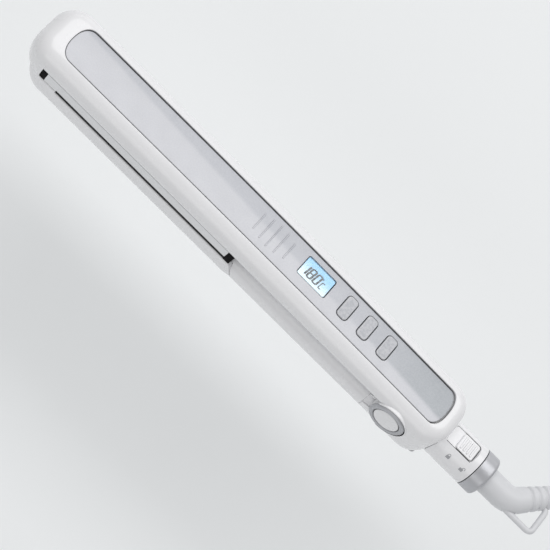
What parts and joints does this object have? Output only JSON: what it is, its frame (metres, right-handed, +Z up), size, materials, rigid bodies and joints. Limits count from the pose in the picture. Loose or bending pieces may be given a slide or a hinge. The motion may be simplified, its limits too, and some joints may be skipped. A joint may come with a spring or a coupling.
{
  "type": "flat iron",
  "caption": "Closed white hair straightener with a silver control panel, a lit temperature window, buttons, a side hinge cap, a cord lock slider and a swivelling cord boot.",
  "frame": {"origin": "on the resting plane, on the mid plane, straight below the hinge pin; the lower arm's flat bottom lies on it", "axes": "+X towards the cord, +Z up, hinge pin along Y; the tip is at -X"},
  "size_m": [0.3447, 0.0645, 0.0338],
  "materials": {
    "shell": "gloss white moulded plastic",
    "panel": "silver-grey lacquered plastic",
    "trim": "satin silver",
    "button": "silver lacquered plastic",
    "lens": "clear, glossy",
    "display": "light blue backlit display",
    "block": "black heat-resistant plastic",
    "plate": "dark ceramic-coated aluminium",
    "steel": "bright steel",
    "heater": "amber polyimide-wrapped ceramic heater",
    "silicone": "red-brown silicone",
    "board": "green fibreglass board",
    "switch": "black moulded plastic",
    "bush": "natural nylon or ceramic",
    "boot": "soft light grey",
    "cord": "white flexible sheath"
  },
  "bodies": {
    "main_body": {"upper_housing": "shell", "control_panel": "panel", "lcd_lens": "lens", "lcd_module": "display", "control_board": "board", "power_switch": "switch", "minus_switch": "switch", "plus_switch": "switch", "upper_inner_cover": "shell", "upper_plate_carrier": "shell", "upper_front_block": "block", "upper_rear_block": "block", "upper_cushion_front": "silicone", "upper_cushion_rear": "silicone", "hinge_pin": "steel", "hinge_bracket": "steel", "opening_spring": "steel", "hub_bottom_cover": "shell", "cord_neck": "shell", "collar_ring": "trim", "power_leads": "cord", "carrier_screw_front": "steel", "carrier_screw_rear": "steel", "upper_cover_screw_front": "steel", "upper_cover_screw_rear": "steel", "hub_screw_left": "steel", "hub_screw_right": "steel"},
    "lower_arm": {"lower_housing": "shell", "lower_inner_cover": "shell", "lower_plate_carrier": "shell", "lower_front_block": "block", "lower_rear_block": "block", "lower_cushion_front": "silicone", "lower_cushion_rear": "silicone", "hinge_ring_left": "trim", "hinge_ring_right": "trim", "hinge_cap_left": "shell", "hinge_cap_right": "shell", "hinge_bush_left": "bush", "hinge_bush_right": "bush", "lower_cover_screw_front": "steel", "lower_cover_screw_rear": "steel"},
    "upper_plate_float": {"upper_plate": "plate", "upper_heater": "heater", "upper_heater_clip": "steel", "thermistor": "bush"},
    "lower_plate_float": {"lower_plate": "plate", "lower_heater": "heater", "lower_heater_clip": "steel", "thermal_fuse": "bush"},
    "power_key": {"power_button": "button"},
    "minus_key": {"minus_button": "button"},
    "plus_key": {"plus_button": "button"},
    "lock": {"lock_slider": "shell", "lock_bolt": "switch"},
    "cord_end": {"strain_relief": "boot", "swivel_hub": "switch", "cord": "cord", "hanging_loop": "boot"}
  },
  "joints": [
    {"name": "arm_hinge", "type": "hinge", "parent": "main_body", "child": "lower_arm", "pos_m": [0, 0, 0.0165], "axis": [0, -1, 0], "range_deg": [0, 20]},
    {"name": "upper_plate_press", "type": "slide", "parent": "main_body", "child": "upper_plate_float", "axis": [0, 0, 1], "range_m": [0, 0.0004]},
    {"name": "lower_plate_press", "type": "slide", "parent": "lower_arm", "child": "lower_plate_float", "axis": [0, 0, -1], "range_m": [0, 0.0004]},
    {"name": "power_press", "type": "slide", "parent": "main_body", "child": "power_key", "axis": [0, 0, -1], "range_m": [0, 0.0005]},
    {"name": "minus_press", "type": "slide", "parent": "main_body", "child": "minus_key", "axis": [0, 0, -1], "range_m": [0, 0.0005]},
    {"name": "plus_press", "type": "slide", "parent": "main_body", "child": "plus_key", "axis": [0, 0, -1], "range_m": [0, 0.0005]},
    {"name": "lock_slide", "type": "slide", "parent": "main_body", "child": "lock", "axis": [1, 0, 0], "range_m": [-0.0046, 0]},
    {"name": "cord_swivel", "type": "hinge", "parent": "main_body", "child": "cord_end", "pos_m": [0.0477, 0, 0.0108], "axis": [1, 0, 0], "continuous": true}
  ]
}
